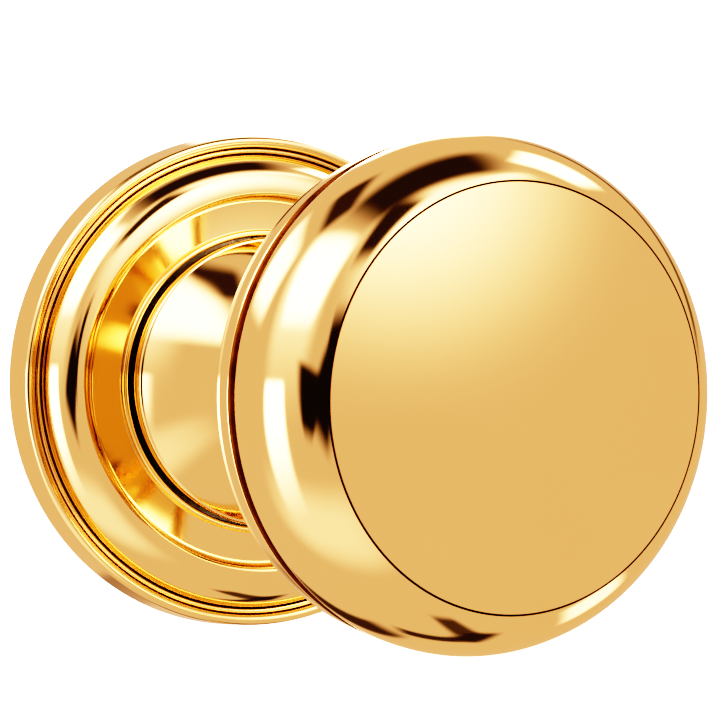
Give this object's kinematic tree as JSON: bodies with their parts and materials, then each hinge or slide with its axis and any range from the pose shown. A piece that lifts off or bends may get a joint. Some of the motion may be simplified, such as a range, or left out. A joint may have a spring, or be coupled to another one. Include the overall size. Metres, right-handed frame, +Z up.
{
  "type": "door knob",
  "caption": "Round polished brass door knob with a domed face and a stepped rosette, on a sprung mounting plate with a square spindle.",
  "frame": {"origin": "on the knob's turning axis, in the plane of the door's face, where the rosette rests", "axes": "-Y out of the door towards the room, +Y into the door, +Z up, +X to the right when facing the knob"},
  "size_m": [0.067, 0.1294, 0.067],
  "materials": {
    "polished_brass": "mirror polished and lacquered",
    "zinc_plated_steel": "bright zinc plate, satin",
    "spring_steel": "oiled, dark",
    "nylon": "natural nylon"
  },
  "bodies": {
    "root": {"rosette_cover": "polished_brass", "mounting_plate": "zinc_plated_steel", "spring_housing": "zinc_plated_steel", "rivet_top": "zinc_plated_steel", "rivet_bottom": "zinc_plated_steel", "stop_pin": "zinc_plated_steel", "through_bolt_left": "zinc_plated_steel", "through_bolt_right": "zinc_plated_steel", "wave_washer": "spring_steel", "return_spring": "spring_steel", "cover_snap_ring": "spring_steel", "bearing_bush": "nylon"},
    "knob": {"knob_front_shell": "polished_brass", "knob_back_plate": "polished_brass", "neck": "polished_brass", "spindle_hub": "zinc_plated_steel", "grub_screw": "spring_steel", "spindle": "zinc_plated_steel", "lock_washer": "zinc_plated_steel", "lock_nut": "zinc_plated_steel", "return_cam": "zinc_plated_steel"}
  },
  "joints": [
    {"name": "knob_turn", "type": "hinge", "parent": "root", "child": "knob", "pos_m": [0, 0, 0], "axis": [0, 1, 0], "range_deg": [-55, 55], "stiffness_Nm_per_rad": 0.35, "deforming": ["return_spring"]}
  ]
}
